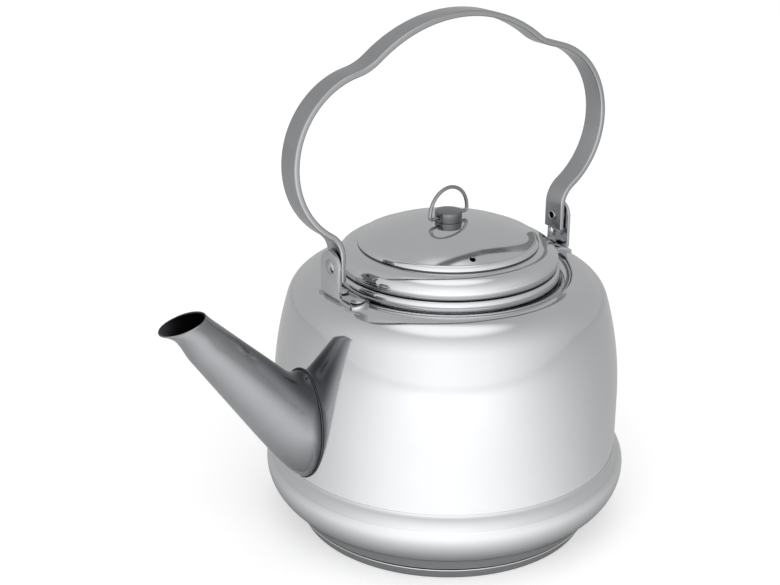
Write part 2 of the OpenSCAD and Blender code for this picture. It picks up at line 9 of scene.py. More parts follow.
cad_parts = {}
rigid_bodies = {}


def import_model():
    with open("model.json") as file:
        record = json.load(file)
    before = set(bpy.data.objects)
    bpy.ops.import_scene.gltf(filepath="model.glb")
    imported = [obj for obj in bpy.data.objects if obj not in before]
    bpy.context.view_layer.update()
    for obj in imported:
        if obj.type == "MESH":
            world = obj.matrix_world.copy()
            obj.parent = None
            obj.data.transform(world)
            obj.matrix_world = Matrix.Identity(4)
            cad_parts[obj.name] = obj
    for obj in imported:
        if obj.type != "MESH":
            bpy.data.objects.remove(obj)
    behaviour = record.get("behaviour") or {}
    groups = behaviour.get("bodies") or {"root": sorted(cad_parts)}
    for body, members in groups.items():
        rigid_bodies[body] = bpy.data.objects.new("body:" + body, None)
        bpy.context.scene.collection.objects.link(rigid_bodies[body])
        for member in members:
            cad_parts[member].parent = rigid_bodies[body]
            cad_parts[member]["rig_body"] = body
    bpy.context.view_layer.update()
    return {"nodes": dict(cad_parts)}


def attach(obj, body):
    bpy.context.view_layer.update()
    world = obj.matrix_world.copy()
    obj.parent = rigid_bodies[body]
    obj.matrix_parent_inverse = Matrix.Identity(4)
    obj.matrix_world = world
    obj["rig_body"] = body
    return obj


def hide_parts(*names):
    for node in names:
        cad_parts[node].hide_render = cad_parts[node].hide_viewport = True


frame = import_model()

MM = 0.001
SAME_SPOT = 1e-8                # in metres: vertices nearer than this are made one
CAD_SAME_SPOT = 1e-6            # the same for the loose triangles of a CAD node

# ---- sizes in millimetres, as in the part's source -----------------------------------------

SHEET = 0.9                     # thickness of the drawn sheet
SEAT = 0.02                     # clearance between pieces that are pressed or welded together

BODY_R = 90.2
LEAN_Z, LEAN_R = 72, 182        # where the wall starts to lean in, and its long curve
SHOULDER_Z, CROWN_Z = 124, 137
CROWN_FALL_R = 12               # the curve that falls from the crown to the foot of the neck
WALL_LAP = 3                    # how far the wall reaches down inside the pan's lip
WALL_HOLE_R = 14                # the hole behind the spout

BULGE_R, BULGE_Z = 95, 33.5
BULGE_LOW_R, BULGE_TOP_R, LIP_HOLLOW_R = 22, 12, 3.6
BULGE_LOW_A = 60                # the bulge's lower arc spans this many degrees
PAN_FOOT_R, PAN_CORNER_R = 80.5, 1.6
CORE_H, FOOT_R, FOOT_FLARE, FOOT_GROOVE = 6.3, 76, 3, 1
FOOT_LOW_R, FOOT_TOP_R = 0.9, 0.5    # the foot cap's rolled edges

NECK_R, BEAD_W, BEAD_H = 55, 2.6, 5.6
BEAD_CLEAR, BEAD_LIFT = 0.4, 0.5    # from the bead out to the crown's fall, and up from its foot

DOME_R, DOME_RISE = 44.2, 8.3
STEP_H, STEP_W = 3.3, 2.2
LID_RIM_H, LID_BULGE, LID_GAP = 10.8, 10.1, 0.3
LID_WIDEST = 0.37               # where the lid is widest, as a share of the height of its rim
LID_EDGE_IN = 0.4               # from the neck's outside in to the lid's lower edge
CREASE = 0.7                    # width of the painted shade line in the lid's crease
PAD_R, PLUG_H, PLUG_GAP, PLUG_DOWN = 8, 12, 0.8, 2.6
VENT_D, VENT_AT, VENT_TURN = 3, 41, 70

KNOB_R, KNOB_H, KNOB_TURN, KNOB_EDGE = 7, 5.2, 7, 0.3
RING_R, RING_WIRE, RING_RISE, RING_BEND = 12.9, 1.9, 1.8, 1.6
RING_PLAY = 0.05

SPOUT_Z, MOUTH_X, MOUTH_Z = 71.785, 151.8, 141.7
SPOUT_R, MOUTH_R, MOUTH_FALL = 19.2, 9.2, 15
LIP, LIP_TOP, PINCH = 2.2, 1, 1
LIP_FROM, PINCH_FROM = 0.88, 0.7    # shares of the tube's length at which the lip and the pinch start
# The spread end, as shares of the spout's length: below, and half of what it is longer on top
FLARE, FLARE_MORE = 0.24, 0.05
KNEE, KNEE_LESS = 0.85, 0.12    # fullness of its curve below, and half of what it lacks on top
SEAM_Y, SEAM_TOP, SEAM_LOW, WELD_R = 18.2, 102.2, 44.985, 0.3
SEAM_OFF = 0.06                 # the spout's foot stands this far off the wall

PIVOT_Z, BAIL_SHIFT = 153.2, 1.9
LEG_X, BAIL_H, ARCH_R = 69.5, 115.8, 80.4
LOBE_X, LOBE_R, LEG_RISE = 52.4, 42.4, 5.4
HOLLOW_R, ANKLE_R, LEG_DROP = 29.5, 14, 7.2
LOBE_H = LEG_RISE + sqrt((LOBE_R + ANKLE_R) ** 2 - (LEG_X - LOBE_X + ANKLE_R) ** 2)
STRIP_W, STRIP_T, STRIP_EDGE = 13, 3, 1
STRIP_END = 0.35                # the rounding of the bail's two ends

EAR_T, PLATE_W, PLATE_IN = 1.7, 11.2, 0.8
EAR_EDGE = 0.3                  # the rounding that polishing gives the ears' edges
RIVET_Y, RIVET_R = (0.8, 15.2), 3.5
RIVET_SHANK_R, RIVET_HEAD_H = RIVET_R * 0.55, RIVET_R * 0.42
RIVET_TAIL_R, RIVET_TAIL_H, RIVET_TAIL_GAP = RIVET_R * 0.85, 1.1, 0.4
RIVET_EDGE, RIVET_TAPER = 0.7, 0.15    # height and rounding of the steep edge round a rivet's head
WASHER_T = 1
PIN_R, PIN_HEAD_R, PIN_HEAD_H, PIN_PLAY = 2.2, 3.8, 1.5, 0.05
PIN_ROLL, PIN_ROLL_Z, PIN_TAIL_GAP = 0.5, 0.4, 0.1    # the hollow tail, rolled out against the bail

# The spout's axis, in the plane y = 0: where it meets the wall, its run, and the way its upper side faces
spout_a = atan2(MOUTH_Z - SPOUT_Z, MOUTH_X - BODY_R)
spout_l = hypot(MOUTH_X - BODY_R, MOUTH_Z - SPOUT_Z)
spout_root = Vector((BODY_R, 0, SPOUT_Z))
along = Vector((cos(spout_a), 0, sin(spout_a)))
up_side = Vector((-sin(spout_a), 0, cos(spout_a)))


# ---- colours and materials ------------------------------------------------------------------

SMUDGE = 22                     # in millimetres: about the width of a smudge left by a polishing cloth
LINE_STRETCH = 0.05             # buffing lines are twenty times as long as they are wide

# Painted shade and a painted dark reflection on the spout, as distances in millimetres between which that
# fades:
# out from the wall all round, as shade in the corner against the wall, and along the upper side, as a dark
# reflection, at whose end a share of it is left. The upper side itself fades in between two heights above the
# spout's axis.
HEAT_ROUND, HEAT_TOP, HEAT_LEFT = (-1, 5), (8, 42), 0.35
HEAT_ABOVE = (3, 13)


def colour(code):
    """An sRGB hex value as linear red, green, blue and alpha."""
    parts = [int(code[i:i + 2], 16) / 255 for i in (1, 3, 5)]
    return [c / 12.92 if c <= 0.04045 else ((c + 0.055) / 1.055) ** 2.4 for c in parts] + [1]


def add(tree, kind, inputs=None, **settings):
    """Adds a node: its settings by name, and its inputs as constants or as other nodes' outputs."""
    node = tree.nodes.new(kind)
    for name, value in settings.items():
        setattr(node, name, value)
    for name, value in (inputs or {}).items():
        if isinstance(value, bpy.types.NodeSocket):
            tree.links.new(value, node.inputs[name])
        else:
            node.inputs[name].default_value = value
    return node


def new_material(name):
    material = bpy.data.materials.new(name)
    material.use_nodes = True
    material.node_tree.nodes.clear()
    return material, material.node_tree


def heat_mark(tree, spot):
    """Painted shade: 1 beside the wall, and on the spout's upper side near it, and falling to 0 from there."""
    across = add(tree, "ShaderNodeSeparateXYZ", {"Vector": spot}).outputs["X"]
    seam = add(tree, "ShaderNodeMapRange", {
        "Value": across, "From Min": (BODY_R + HEAT_ROUND[0]) * MM, "From Max": (BODY_R + HEAT_ROUND[1]) * MM,
        "To Min": 1, "To Max": 0}, interpolation_type="SMOOTHSTEP")
    raised = add(tree, "ShaderNodeVectorMath", {0: spot, 1: spout_root * -MM}, operation="ADD")
    raised = add(tree, "ShaderNodeVectorMath", {0: raised.outputs["Vector"], 1: up_side},
                 operation="DOT_PRODUCT")
    above = add(tree, "ShaderNodeMapRange", {
        "Value": raised.outputs["Value"], "From Min": HEAT_ABOVE[0] * MM, "From Max": HEAT_ABOVE[1] * MM},
        interpolation_type="SMOOTHSTEP")
    spread = add(tree, "ShaderNodeMapRange", {
        "Value": across, "From Min": (BODY_R + HEAT_TOP[0]) * MM, "From Max": (BODY_R + HEAT_TOP[1]) * MM,
        "To Min": 1, "To Max": HEAT_LEFT}, interpolation_type="SMOOTHSTEP")
    upper = add(tree, "ShaderNodeMath", {0: above.outputs[0], 1: spread.outputs[0]}, operation="MULTIPLY")
    mark = add(tree, "ShaderNodeMath", {0: seam.outputs[0], 1: upper.outputs[0]}, operation="MAXIMUM")
    return mark.outputs[0]


def steel(name, tints, rough, line_mm, line_depth, rounds=True, root=None):
    """Stainless steel: smudges vary its tint and gloss, and fine buffing lines run round it or along it.

    The real lines are a few hundredths of a millimetre apart. They are drawn 0.5 to 1.5 mm apart, so that
    they show. A shade tint is the colour of painted shade and of a painted dark reflection, which the steel
    darkens to beside the wall and on the spout's upper side."""
    material, tree = new_material(name)
    spot = add(tree, "ShaderNodeTexCoord").outputs["Object"]
    smudge = add(tree, "ShaderNodeTexNoise", {
        "Vector": spot, "Scale": 1 / (SMUDGE * MM), "Detail": 4, "Roughness": 0.6}).outputs["Fac"]
    tint = add(tree, "ShaderNodeMix", {"Factor": smudge, "A": colour(tints[0]), "B": colour(tints[1])},
               data_type="RGBA").outputs["Result"]
    # Painted shade and painted reflection: the tint darkens to the shade tint beside the wall and on the upper
    # side.
    if root:
        tint = add(tree, "ShaderNodeMix", {"Factor": heat_mark(tree, spot), "A": tint, "B": colour(root)},
                   data_type="RGBA").outputs["Result"]
    # A lathe's buffing wheel leaves lines round the kettle's axis: noise stretched round it stands for them.
    if rounds:
        apart = add(tree, "ShaderNodeSeparateXYZ", {"Vector": spot}).outputs
        flat = add(tree, "ShaderNodeCombineXYZ", {"X": apart["X"], "Y": apart["Y"]}).outputs[0]
        reach = add(tree, "ShaderNodeVectorMath", {0: flat}, operation="LENGTH").outputs["Value"]
        lines_at = add(tree, "ShaderNodeCombineXYZ", {"X": reach, "Y": apart["Z"]}).outputs[0]
    else:
        lines_at = add(tree, "ShaderNodeMapping", {
            "Vector": spot, "Scale": (LINE_STRETCH, 1, LINE_STRETCH)}).outputs[0]
    lines = add(tree, "ShaderNodeTexNoise", {"Vector": lines_at, "Scale": 1 / (line_mm * MM), "Detail": 3})
    gloss = add(tree, "ShaderNodeMapRange", {
        "Value": smudge, "From Min": 0.3, "From Max": 0.7, "To Min": rough[0], "To Max": rough[1]})
    bump = add(tree, "ShaderNodeBump", {
        "Height": lines.outputs["Fac"], "Strength": 1, "Distance": line_depth * MM})
    shader = add(tree, "ShaderNodeBsdfPrincipled", {
        "Base Color": tint, "Metallic": 1, "Roughness": gloss.outputs[0], "Normal": bump.outputs[0]})
    add(tree, "ShaderNodeOutputMaterial", {"Surface": shader.outputs[0]})
    return material


# Stainless steel sheet, deep drawn and buffed to a mirror: crisp reflections, with faint smudges.
mirror_steel = steel("mirror_polished_stainless_steel", ("#CFD0D2", "#D6D7D8"), (0.06, 0.1), 0.8, 0.0006)
# The spout, rolled from sheet, welded and buffed by hand: greyer and softer than the body. Painted shade
# darkens it at its root, and a painted dark reflection darkens its upper side.
rolled_steel = steel("hand_buffed_rolled_stainless_steel", ("#8B8C8F", "#999A9C"), (0.1, 0.2), 0.9, 0.002,
                     rounds=False, root="#4E4F52")
# Stainless flat bar, polished by belt along its length: reflections blur into soft bands.
bar_steel = steel("belt_polished_stainless_bar", ("#A4A5A7", "#AEAFB1"), (0.2, 0.28), 0.6, 0.002,
                  rounds=False)
# Bar turned on a lathe, with rings of tool marks round the axis. Its tint is darker than the sheet's: a
# painted dark reflection, for the dark middle that the knob shows.
turned_steel = steel("lathe_turned_stainless_steel_painted_dark", ("#6C6D70", "#7C7D80"), (0.1, 0.16), 0.5, 0.004)
# Round wire drawn through a die and polished, with a thin bright line along it. Its tint is darker than the
# sheet's as a painted reflection of the darker room that the round wire mirrors.
drawn_wire = steel("drawn_stainless_wire_painted_dark", ("#909194", "#9E9FA2"), (0.1, 0.16), 0.7, 0.002, rounds=False)
# Hinge rivets and washers, tumbled in a drum: fairly bright, with softened reflections.
tumbled_steel = steel("tumbled_stainless_steel", ("#A6A7AA", "#B6B7B9"), (0.14, 0.22), 1.5, 0.004,
                      rounds=False)
# The weld's bead, left as it froze, dark with the tint of its heat. The lid's crease gets the same dark steel
# as painted shade.
weld_steel = steel("unground_weld_bead_and_painted_crease_shade", ("#4A4A4E", "#5E5F63"), (0.25, 0.35), 0.8, 0.01, rounds=False)
# Ears stamped from sheet, and the heads of their rivets, polished with the body: bright, a little soft.
stamped_steel = steel("stamped_polished_stainless_steel", ("#BABBBE", "#C8C9CB"), (0.12, 0.2), 1.2, 0.003,
                      rounds=False)
# Near-black dull steel: painted shade inside the spout and in the hollow tails of the hinge rivets. It also
# darkens the steep edge round each ear rivet's head.
raw_steel = steel("near_black_painted_shade_steel", ("#3A3A3D", "#4E4E52"), (0.4, 0.55), 1.2, 0.006,
                  rounds=False)
# Unbuffed steel inside the body and the lid, pickled clean: an even, dull grey.
pickled_steel = steel("pickled_stainless_steel", ("#8E8F92", "#9C9DA0"), (0.3, 0.42), 1.2, 0.004)


# ---- meshes -----------------------------------------------------------------------------------

def arc(x, y, r, a0, a1, n):
    """n + 1 points along an arc, from angle a0 to a1 in degrees."""
    return [(px, py) for px, py, _ in bend(x, y, r, a0, a1, n)]


def bend(x, y, r, a0, a1, n, side=0):
    """Stations along a bend: the points of its arc, each with the direction in degrees of its outer side."""
    angles = [a0 + (a1 - a0) * i / n for i in range(n + 1)]
    return [(x + r * cos(radians(a)), y + r * sin(radians(a)), a + side) for a in angles]


def circle(mid, out, side, r, n):
    """n points on a circle of radius r, that starts towards out and turns towards side."""
    return [mid + out * r * cos(b) + side * r * sin(b) for b in (2 * pi * j / n for j in range(n))]


def place(bm, name, body, materials, nodes, crease=35):
    """Turns a bmesh in metres into a smooth piece that rides on a body and stands for its CAD nodes."""
    bmesh.ops.remove_doubles(bm, verts=bm.verts, dist=SAME_SPOT)
    bmesh.ops.recalc_face_normals(bm, faces=bm.faces)
    for face in bm.faces:
        face.smooth = True
    for edge in bm.edges:
        edge.smooth = edge.calc_face_angle(0) < radians(crease)
    mesh = bpy.data.meshes.new(name)
    bm.to_mesh(mesh)
    bm.free()
    piece = bpy.data.objects.new(name, mesh)
    bpy.context.scene.collection.objects.link(piece)
    for material in materials:
        mesh.materials.append(material)
    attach(piece, body)
    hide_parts(*nodes)
    return piece


def spun(outline, steps=240):
    """A bmesh of an outline, as (radius, height) in millimetres, spun round the Z axis."""
    bm = bmesh.new()
    verts = [bm.verts.new((x * MM, 0, z * MM)) for x, z in outline]
    ends_on_axis = outline[0][0] == 0 and outline[-1][0] == 0
    pairs = zip(verts, verts[1:] if ends_on_axis else verts[1:] + verts[:1])
    edges = [bm.edges.new(pair) for pair in pairs]
    bmesh.ops.spin(bm, geom=verts + edges, cent=(0, 0, 0), axis=(0, 0, 1), angle=2 * pi, steps=steps,
                   use_merge=True)
    bmesh.ops.remove_doubles(bm, verts=bm.verts, dist=SAME_SPOT)
    loose = [e for e in bm.edges if not e.link_faces]
    bmesh.ops.delete(bm, geom=loose, context="EDGES")
    return bm


def swept(rings, close_ends=True):
    """A bmesh of rings of points in millimetres, each bridged to the next."""
    bm = bmesh.new()
    loops = []
    for ring in rings:
        verts = [bm.verts.new(Vector(p) * MM) for p in ring]
        loops.append([bm.edges.new(pair) for pair in zip(verts, verts[1:] + verts[:1])])
    for near, far in zip(loops, loops[1:]):
        bmesh.ops.bridge_loops(bm, edges=near + far)
    if close_ends:
        for loop in (loops[0], loops[-1]):
            bmesh.ops.contextual_create(bm, geom=loop)
    return bm


def cut(piece, radius, start, end):
    """Bores a round hole through a piece, along a line between two points in millimetres."""
    bm = bmesh.new()
    line = (Vector(end) - Vector(start)) * MM
    middle = (Vector(start) + Vector(end)) / 2 * MM
    turn = line.to_track_quat("Z", "Y").to_matrix().to_4x4()
    bmesh.ops.create_cone(bm, cap_ends=True, segments=64, radius1=radius * MM, radius2=radius * MM,
                          depth=line.length)
    bmesh.ops.transform(bm, verts=bm.verts, matrix=Matrix.Translation(middle) @ turn)
    mesh = bpy.data.meshes.new("drill")
    bm.to_mesh(mesh)
    bm.free()
    drill = bpy.data.objects.new("drill", mesh)
    bpy.context.scene.collection.objects.link(drill)
    boolean = piece.modifiers.new("hole", "BOOLEAN")
    boolean.object = drill
    boolean.solver = "EXACT"
    graph = bpy.context.evaluated_depsgraph_get()
    piece.data = bpy.data.meshes.new_from_object(piece.evaluated_get(graph))
    piece.modifiers.remove(boolean)
    bpy.data.objects.remove(drill)


def give_material(piece, index, test):
    """Gives another material to the faces whose centre, in millimetres, and normal pass a test."""
    for face in piece.data.polygons:
        if test(face.center / MM, face.normal):
            face.material_index = index


def looks_at_axis(centre, normal):
    """Whether a face of a turned piece looks towards its axis."""
    return normal.x * centre.x + normal.y * centre.y < 0


# ---- body -------------------------------------------------------------------------------------

lean_a = degrees(asin((SHOULDER_Z - LEAN_Z) / LEAN_R))
corner_r = (CROWN_Z - SHOULDER_Z) / (1 - sin(radians(lean_a)))
corner_x = BODY_R - LEAN_R + (LEAN_R - corner_r) * cos(radians(lean_a))
corner_z = CROWN_Z - corner_r
neck_foot_r = NECK_R + BEAD_W + BEAD_CLEAR
fall_a = degrees(asin((corner_x - neck_foot_r) / CROWN_FALL_R))
neck_foot_z = CROWN_Z - CROWN_FALL_R * (1 - cos(radians(fall_a)))
bead_z = neck_foot_z + BEAD_LIFT
neck_top = bead_z + BEAD_H
top_x = BULGE_R - BULGE_TOP_R
low_x = BULGE_R - BULGE_LOW_R
pan_lip_z = BULGE_Z + sqrt(BULGE_TOP_R ** 2 - (BODY_R + SEAT - top_x) ** 2)


def wall_r(z):
    """The wall's outer radius at a height."""
    return BODY_R if z < LEAN_Z else BODY_R - LEAN_R + sqrt(LEAN_R ** 2 - (z - LEAN_Z) ** 2)


def body_side(d):
    """Wall and shoulder, moved in by d, from inside the pan's lip up to the foot of the neck."""
    straight = [pan_lip_z - WALL_LAP, pan_lip_z + 8, LEAN_Z - 10]    # heights of stations on the plain wall
    return ([(BODY_R - d, z) for z in straight]
            + arc(BODY_R - LEAN_R, LEAN_Z, LEAN_R - d, 0, lean_a, 14)
            + arc(corner_x, corner_z, corner_r - d, lean_a, 90, 24)[1:]
            + arc(corner_x, CROWN_Z - CROWN_FALL_R, CROWN_FALL_R - d, 90, 90 + fall_a, 10)[1:])


def make_body():
    # A small round leads from the crown up into the neck.
    out, dip, rise = 0.8, 0.2, 0.4
    outside = body_side(0) + [(NECK_R + out, neck_foot_z - dip), (NECK_R, neck_foot_z + rise),
                              (NECK_R, neck_top)]
    inside = body_side(SHEET) + [(NECK_R - SHEET, neck_foot_z - SHEET + dip), (NECK_R - SHEET, neck_top)]
    body = place(spun(outside + inside[::-1], 288), "kettle_body", "kettle", [mirror_steel, pickled_steel],
                 ["body_shell"])
    give_material(body, 1, lambda c, n: looks_at_axis(c, n) and c.z < neck_foot_z or n.z < -0.5)
    cut(body, WALL_HOLE_R, (BODY_R / 2, 0, SPOUT_Z), (BODY_R * 1.5, 0, SPOUT_Z))


def make_rim_bead():
    mid = NECK_R + BEAD_W / 2
    outer = [(mid + BEAD_W / 2 * cos(radians(a)), bead_z + BEAD_H / 2 * (1 + sin(radians(a))))
             for a in range(-90, 91, 6)]
    # Its end is rolled in over the neck's edge.
    rolled_in = [(mid - 0.6, neck_top + 0.1), (NECK_R + SEAT, neck_top), (NECK_R + SEAT, bead_z)]
    place(spun(outer + rolled_in), "neck_bead", "kettle", [mirror_steel], ["rim_bead"])


# ---- base -------------------------------------------------------------------------------------

pan_floor_z = CORE_H + FOOT_GROOVE - 0.1


def pan_side(d, top_a):
    """The pan, moved in by d, from its middle out round the foot and up the bulge to an angle."""
    corner = PAN_FOOT_R - d - PAN_CORNER_R
    return ([(0, pan_floor_z + d), (PAN_FOOT_R - d - 3, pan_floor_z + d)]
            + arc(corner, pan_floor_z + d + PAN_CORNER_R, PAN_CORNER_R, -90, -25, 5)
            + arc(low_x, BULGE_Z, BULGE_LOW_R - d, -BULGE_LOW_A, 0, 24)
            + arc(top_x, BULGE_Z, BULGE_TOP_R - d, 0, top_a, 20)[1:])


def make_pan():
    # Outside, the bulge runs through a small hollow into a thin lip on the wall.
    hollow_x = BODY_R + SEAT + LIP_HOLLOW_R
    hollow_a = degrees(acos((hollow_x - top_x) / (BULGE_TOP_R + LIP_HOLLOW_R)))
    hollow_z = BULGE_Z + (BULGE_TOP_R + LIP_HOLLOW_R) * sin(radians(hollow_a))
    lip = arc(hollow_x, hollow_z, LIP_HOLLOW_R, 180 + hollow_a, 194, 12)[1:]
    lip += [(BODY_R + SEAT, lip[-1][1])]
    lip_a = degrees(acos((BODY_R + SEAT - top_x) / (BULGE_TOP_R - SHEET)))
    pan = place(spun(pan_side(0, hollow_a) + lip + pan_side(SHEET, lip_a)[::-1], 288), "base_bowl", "kettle",
                [mirror_steel, pickled_steel], ["base_pan"])
    give_material(pan, 1, lambda c, n: n.z > 0.9 and c.z < BULGE_Z or looks_at_axis(c, n))


def make_foot():
    top = FOOT_R + FOOT_FLARE
    outline = ([(0, 0), (FOOT_R - 1, 0)] + arc(FOOT_R - 0.8, FOOT_LOW_R, FOOT_LOW_R, -90, -20, 6)
               + [(top - 0.35, CORE_H - 1.1)]
               + arc(top - FOOT_TOP_R, CORE_H - FOOT_TOP_R, FOOT_TOP_R, 0, 90, 5)
               + [(FOOT_R, CORE_H), (FOOT_R, SHEET), (0, SHEET)])
    place(spun(outline, 288), "foot_disc", "kettle", [mirror_steel], ["foot_cap"])


# ---- spout ------------------------------------------------------------------------------------

cut_lean = radians(90 - MOUTH_FALL) - spout_a


def flare_l(a):
    """Length over which the tube spreads onto the wall: longest on top."""
    return spout_l * (FLARE + FLARE_MORE * (1 + sin(a)))


def cone_r(l):
    """Radius of the plain cone at a distance along its axis."""
    return SPOUT_R + (MOUTH_R - SPOUT_R) * l / spout_l


def lip_r(a):
    """Radius of the lip at an angle: turned out above and, more so, below."""
    return MOUTH_R + (LIP if sin(a) < 0 else LIP_TOP) * sin(a) ** 2


def lip_l(a):
    """Distance along the axis at which the mouth's slanting cut meets the lip."""
    return spout_l - lip_r(a) * sin(a) * tan(cut_lean)


def tube_point(u, a, d):
    """A point of the tube at angle a, moved in by d. From the spread end to the lip, u runs from 0 to 1."""
    l = flare_l(a) + (lip_l(a) - flare_l(a)) * u
    turn_out = (lip_r(a) - cone_r(lip_l(a))) * max(0, (u - LIP_FROM) / (1 - LIP_FROM)) ** 2
    narrow = PINCH * (1 - sin(a)) / 2 * sin(pi * max(0, (u - PINCH_FROM) / (1 - PINCH_FROM))) ** 2
    r = cone_r(l) + turn_out - narrow - d
    return spout_root + along * l + up_side * r * sin(a) + Vector((0, r * cos(a), 0))


def seam_point(a, d):
    """A point of the seam on the wall."""
    y = (SEAM_Y - d) * cos(a)
    z = (SEAM_TOP + SEAM_LOW) / 2 + ((SEAM_TOP - SEAM_LOW) / 2 - d) * sin(a)
    return Vector((sqrt(wall_r(z) ** 2 - y * y) + SEAM_OFF, y, z))


def flare_point(t, a, d):
    """The spread end: a curve that leaves the wall along its surface and runs into the tube."""
    wall, tube = seam_point(a, d), tube_point(0, a, d)
    run = tube - tube_point(0.1, a, d)
    knee = tube + run / run.x * (wall.x - tube.x) * (KNEE - KNEE_LESS * (1 + sin(a)))
    return wall * (1 - t) ** 2 + knee * 2 * t * (1 - t) + tube * t * t


def spout_rings(d, sides=128, flare_rings=20, tube_rings=44):
    """The spout's rings, moved in by d. They stand closer together towards the lip."""
    angles = [2 * pi * k / sides for k in range(sides)]
    spread = [[flare_point(i / flare_rings, a, d) for a in angles] for i in range(flare_rings)]
    tube = [[tube_point(1 - (1 - i / tube_rings) ** 1.5, a, d) for a in angles]
            for i in range(tube_rings + 1)]
    return spread + tube


def make_spout():
    outside, inside = spout_rings(0), spout_rings(SHEET)
    rounding = along * SHEET * 0.35
    rim = [[(o + i) / 2 + rounding for o, i in zip(outside[-1], inside[-1])]]
    bm = swept(outside + rim + inside[::-1], close_ends=False)
    bmesh.ops.bridge_loops(bm, edges=[e for e in bm.edges if e.is_boundary])
    spout = place(bm, "spout", "kettle", [rolled_steel, raw_steel], ["spout_tube"])

    def looks_at_spout_axis(centre, normal):
        from_root = centre - spout_root
        return normal.dot(from_root - along * from_root.dot(along)) < 0
    # Painted shade: the inside of the spout is drawn near black.
    give_material(spout, 1, looks_at_spout_axis)


def make_weld(sides=96, bead_sides=10):
    ripple, ripples, step = 0.12, 5, 0.02
    rings = []
    for k in range(sides + 1):
        a = 2 * pi * (k % sides) / sides
        p, q = seam_point(a, -WELD_R), seam_point(a + step, -WELD_R)
        run, out = (q - p).normalized(), Vector((p.x, p.y, 0)).normalized()
        r = WELD_R * (1 + ripple * sin(k * ripples))
        rings.append(circle(p + out * (WELD_R + SEAT), out, run.cross(out), r, bead_sides))
    place(swept(rings, close_ends=False), "spout_seam_weld", "kettle", [weld_steel], ["spout_weld"])


# ---- lid --------------------------------------------------------------------------------------

lid_low_z = neck_top + LID_GAP
step_r = DOME_R + STEP_W
step_z = lid_low_z + LID_RIM_H
dome_z = step_z + STEP_H
pad_z = dome_z + DOME_RISE
dome_ball = ((DOME_R - PAD_R) ** 2 + DOME_RISE ** 2) / (2 * DOME_RISE)
dome_a = degrees(asin((DOME_R - PAD_R) / dome_ball))
lid_edge_r = NECK_R - LID_EDGE_IN
rim_r = step_r + LID_BULGE
rim_z = lid_low_z + LID_RIM_H * LID_WIDEST


def quarter(x, z, w, h, n, falling=False):
    """n points of a quarter ellipse, out and down from its top. Falling, it goes in from its side, squarer."""
    turns = [radians(90 * (i + 1) / n) for i in range(n)]
    if falling:
        return [(x + w * max(cos(t), 0) ** 0.5, z - h * sin(t)) for t in turns]
    return [(x + w * sin(t), z + h * cos(t)) for t in turns]


def lid_side(d):
    """The outside of the lid, moved in by d, from its middle out and down to its lower edge."""
    return ([(0, pad_z - d)] + arc(PAD_R, pad_z - dome_ball, dome_ball - d, 90, 90 - dome_a, 24)
            + quarter(DOME_R, step_z, STEP_W - d, STEP_H - d, 16)[:-1]
            + [(step_r - d, step_z - d)]
            + quarter(step_r, rim_z, LID_BULGE - d, step_z - rim_z - d, 28)
            + quarter(lid_edge_r, rim_z, rim_r - lid_edge_r - d, rim_z - lid_low_z, 12, falling=True))


def make_lid():
    lid = place(spun(lid_side(0) + lid_side(SHEET)[::-1]), "lid_cover", "lid",
                [mirror_steel, pickled_steel, weld_steel], ["lid_shell"], crease=20)
    give_material(lid, 1, lambda c, n: n.z < -0.3)
    # Painted shade: the crease at the foot of the step gets the dark weld steel.
    give_material(lid, 2, lambda c, n: 0 < step_r - hypot(c.x, c.y) < CREASE and 0 < c.z - step_z < CREASE)
    turn = radians(VENT_TURN)
    vent = (VENT_AT * cos(turn), VENT_AT * sin(turn))
    cut(lid, VENT_D / 2, (*vent, step_z - 4), (*vent, pad_z + 4))


def make_plug():
    """The ring under the lid, that holds it in the neck: its lower edge is turned in and back up."""
    r, low, top = NECK_R - SHEET - PLUG_GAP, lid_low_z - PLUG_H, step_z - PLUG_DOWN
    fold_r = 1.4
    outline = [(r, top), (r, low + 1.6)] + arc(r - fold_r, low + fold_r, fold_r, 0, -60, 5) + [
        (r - 1.1 - SHEET, low), (r - SHEET - 0.2, low + fold_r), (r - SHEET, low + 2), (r - SHEET, top)]
    place(spun(outline), "lid_skirt", "lid", [pickled_steel], ["lid_plug"])


# ---- knob -------------------------------------------------------------------------------------

knob_z = pad_z + SEAT
ring_z = knob_z + KNOB_H / 2
wire_r = RING_WIRE / 2


def make_knob():
    edge_r = KNOB_R - KNOB_EDGE
    outline = ([(0, knob_z), (edge_r, knob_z)] + arc(edge_r, knob_z + KNOB_EDGE, KNOB_EDGE, -90, 0, 5)
               + arc(edge_r, knob_z + KNOB_H - KNOB_EDGE, KNOB_EDGE, 0, 90, 6) + [(0, knob_z + KNOB_H)])
    knob = place(spun(outline, 96), "knob_button", "lid", [turned_steel], ["knob"], crease=60)
    across = Vector((cos(radians(KNOB_TURN)), sin(radians(KNOB_TURN)), 0)) * KNOB_R * 2
    middle = Vector((0, 0, ring_z))
    cut(knob, wire_r + RING_PLAY, middle - across, middle + across)


def make_ring(sides=20):
    """The wire runs from inside the knob out of its bore, bends up and goes round over it."""
    bend_x = sqrt((RING_R - RING_BEND) ** 2 - (RING_RISE - RING_BEND) ** 2)
    bend_a = degrees(atan2(RING_BEND - RING_RISE, bend_x))
    half = ([(KNOB_R / 2, 0, -90)] + bend(bend_x, RING_BEND, RING_BEND, -90, bend_a, 12)
            + bend(0, RING_RISE, RING_R, bend_a, 90, 32)[1:])
    line = half + [(-x, z, 180 - a) for x, z, a in half[-2::-1]]
    rings = []
    for x, z, a in line:
        out = Vector((cos(radians(a)), 0, sin(radians(a))))
        rings.append(circle(Vector((x, 0, ring_z + z)), out, Vector((0, 1, 0)), wire_r, sides))
    ring = swept(rings)
    bmesh.ops.transform(ring, verts=ring.verts, matrix=Matrix.Rotation(radians(KNOB_TURN), 4, "Z"))
    place(ring, "lid_ring", "ring", [drawn_wire], ["knob_ring"])


# ---- bail -------------------------------------------------------------------------------------

